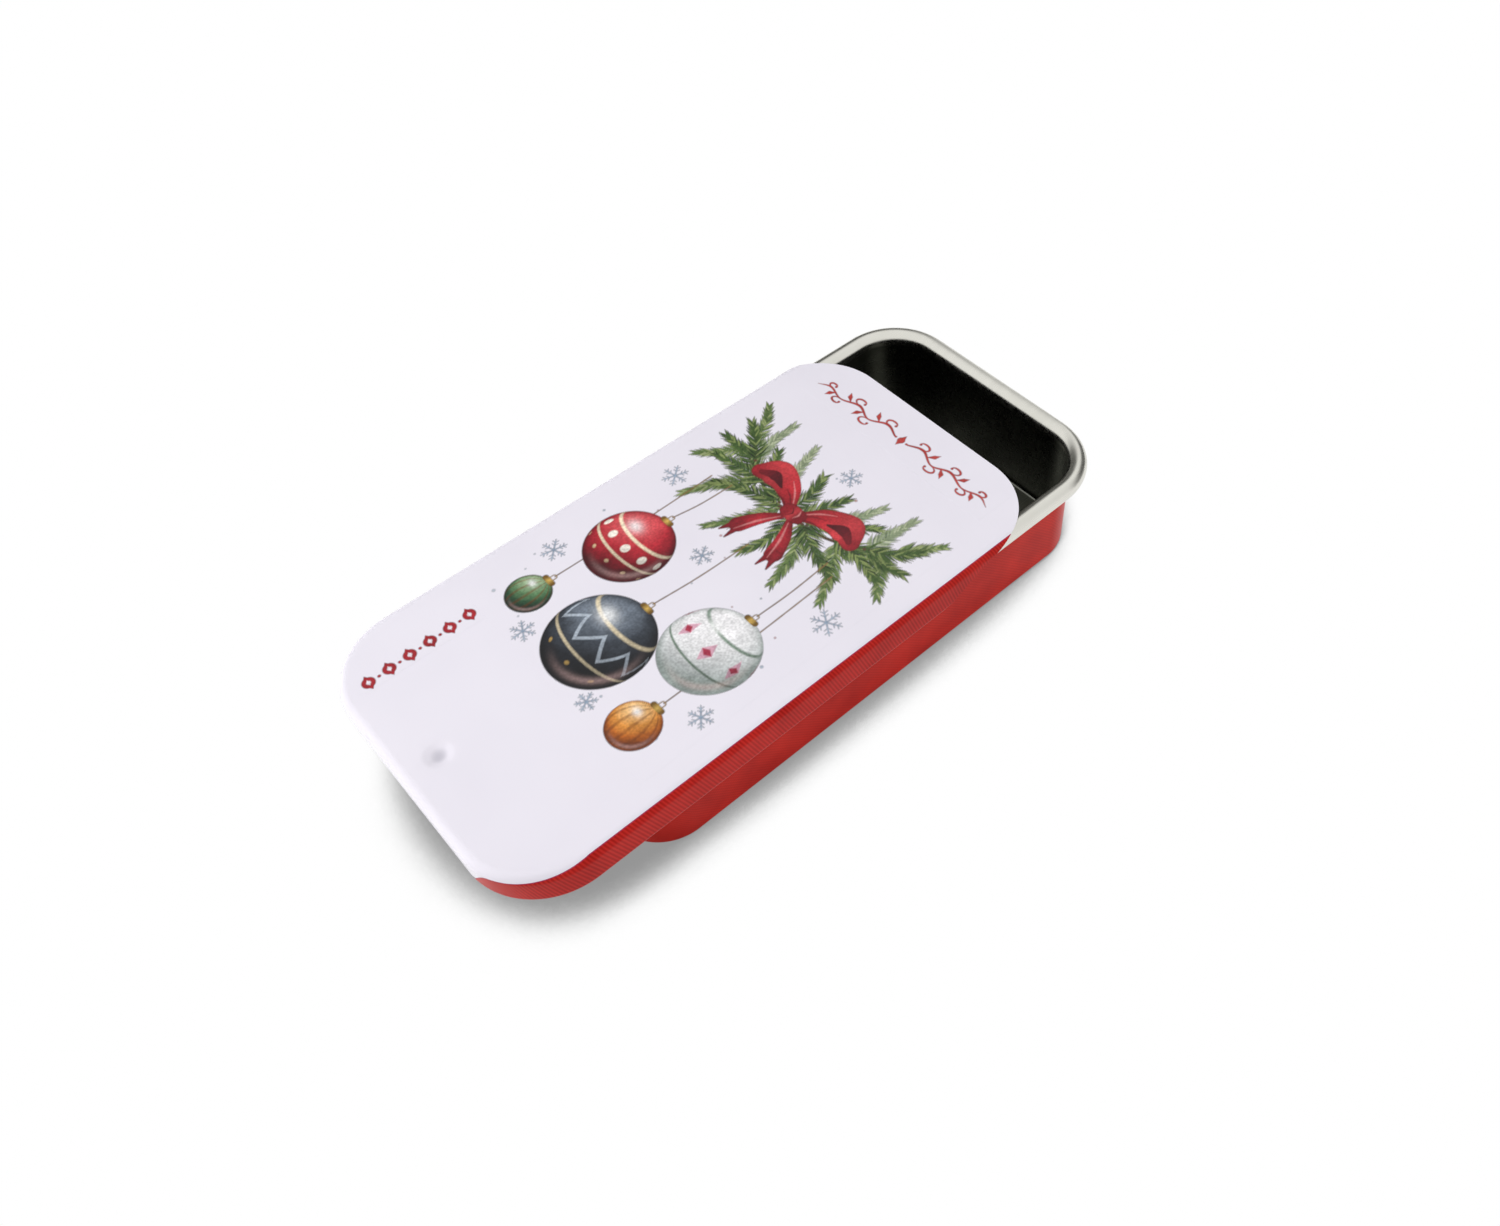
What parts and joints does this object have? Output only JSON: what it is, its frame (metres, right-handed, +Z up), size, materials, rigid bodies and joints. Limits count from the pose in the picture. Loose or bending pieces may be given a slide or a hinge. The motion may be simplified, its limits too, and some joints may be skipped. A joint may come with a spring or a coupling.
{
  "type": "slide-top tin",
  "caption": "Small drawn tinplate needle tin with a curled-rim tray and a hemmed lid that slides along the rim and off it.",
  "frame": {"origin": "centre of the tray's flat underside, where the tin rests", "axes": "+X along the tin towards the end that the lid uncovers, +Y across it towards a long side, +Z up"},
  "size_m": [0.0707, 0.033, 0.0121],
  "materials": {
    "red_enamel_tinplate": "glossy red enamel on the outside of the drawn tinplate",
    "white_enamel_tinplate": "glossy white enamel on the lid's top, with a printed picture",
    "bare_tinplate": "bright bare tinplate inside both pieces and on the tray's curl, with no paint"
  },
  "bodies": {
    "tray": {"base_tray": "red_enamel_tinplate"},
    "lid": {"slide_lid": "white_enamel_tinplate"}
  },
  "joints": [
    {"name": "lid_slide", "type": "slide", "parent": "tray", "child": "lid", "axis": [1, 0, 0], "range_m": [-0.0508, 0.0102]}
  ]
}
